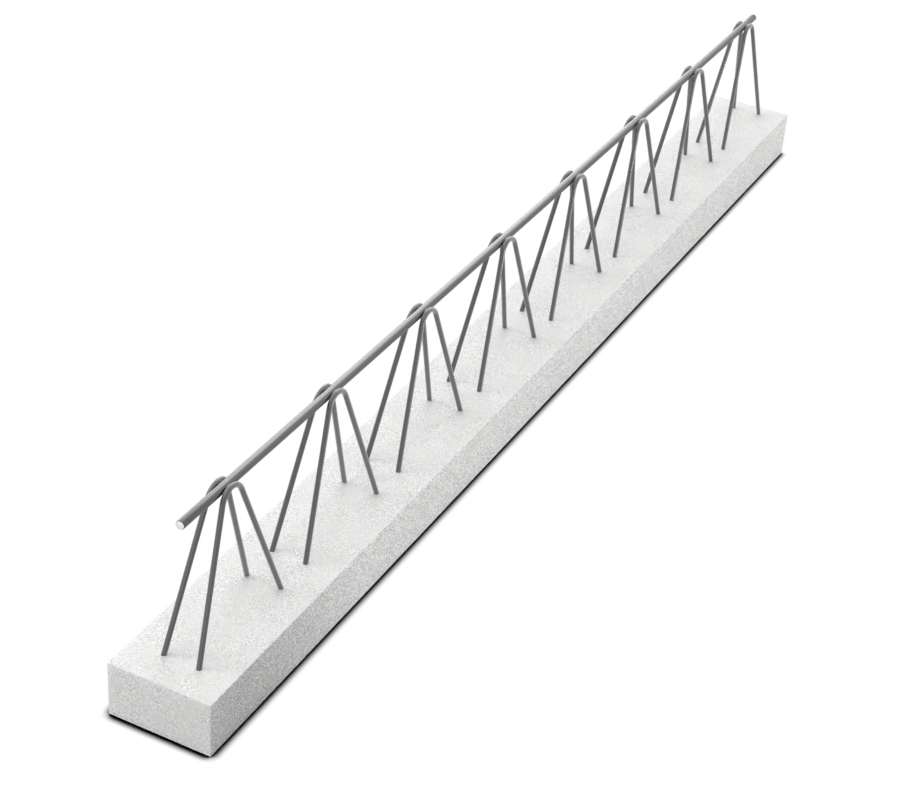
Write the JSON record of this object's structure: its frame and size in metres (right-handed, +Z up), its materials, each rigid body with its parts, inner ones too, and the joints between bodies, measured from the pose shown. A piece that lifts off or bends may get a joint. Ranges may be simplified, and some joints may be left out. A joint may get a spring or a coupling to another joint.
{
  "type": "precast floor beam",
  "caption": "Floor beam: a rectangular concrete foot with a welded steel lattice girder cast into it, which carries infill blocks and bonds with site concrete.",
  "frame": {"origin": "middle of the soffit, the flat underside of the concrete foot", "axes": "+X along the beam, +Y across it, +Z up towards the top chord"},
  "size_m": [1.615, 0.12, 0.235],
  "materials": {
    "cast_concrete": "matte",
    "drawn_steel": "satin"
  },
  "bodies": {
    "root": {"concrete_foot": "cast_concrete", "top_chord": "drawn_steel", "lattice_wire_left": "drawn_steel", "lattice_wire_right": "drawn_steel", "bottom_bar_left": "drawn_steel", "bottom_bar_right": "drawn_steel"}
  },
  "joints": []
}
